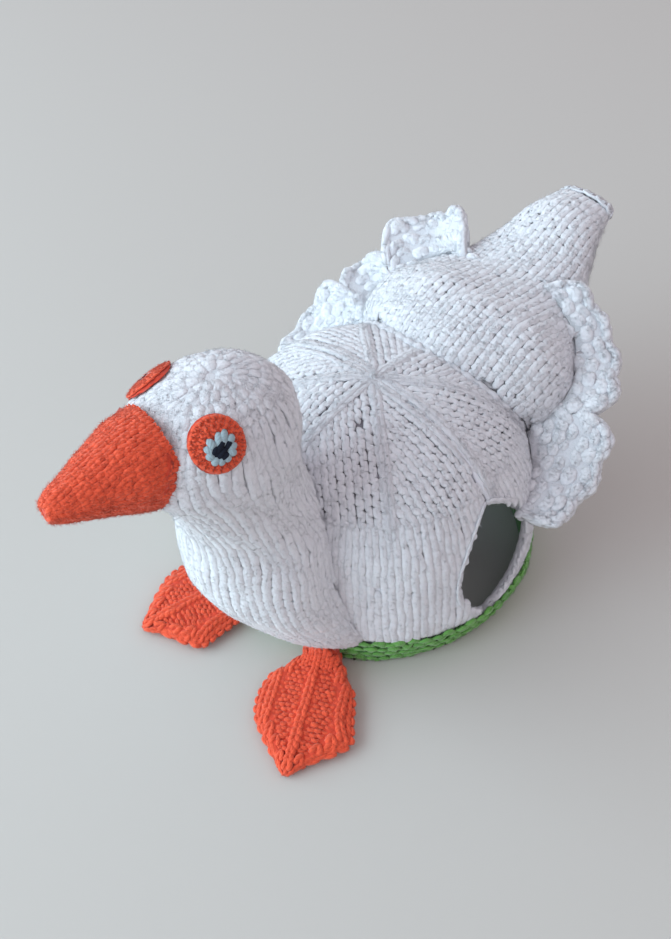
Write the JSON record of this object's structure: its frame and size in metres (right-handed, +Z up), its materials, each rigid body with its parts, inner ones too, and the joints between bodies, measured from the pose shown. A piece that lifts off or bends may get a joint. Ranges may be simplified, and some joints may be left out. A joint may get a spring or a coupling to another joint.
{
  "type": "tea cosy",
  "caption": "Knitted goose tea cosy: a hollow domed body with side openings for spout and handle, a stuffed neck and head, beak, webbed feet, and a stuffed tail in a scalloped ruffle.",
  "frame": {"origin": "centre of the bounding box at the level the hem rests on", "axes": "+Z up; the goose looks along -Y and its tail points along +Y; the handle opening is at +X and the spout opening at -X"},
  "size_m": [0.1878, 0.3398, 0.1877],
  "materials": {
    "white_body": "knitted wool yarn, matt",
    "white_stuffed": "knitted wool yarn over stuffing, matt",
    "white_ruffle": "thick knitted wool yarn, matt",
    "orange": "knitted wool yarn, matt",
    "eye_orange": "knitted wool yarn with embroidery, matt",
    "green": "knitted wool yarn, matt"
  },
  "bodies": {
    "root": {"body_front": "white_body", "body_back": "white_body", "hem_border": "green", "neck_head": "white_stuffed", "beak": "orange", "eye_left": "eye_orange", "eye_right": "eye_orange", "foot_left": "orange", "foot_right": "orange", "tail": "white_stuffed", "ruffle_left": "white_ruffle", "ruffle_right": "white_ruffle"}
  },
  "joints": []
}
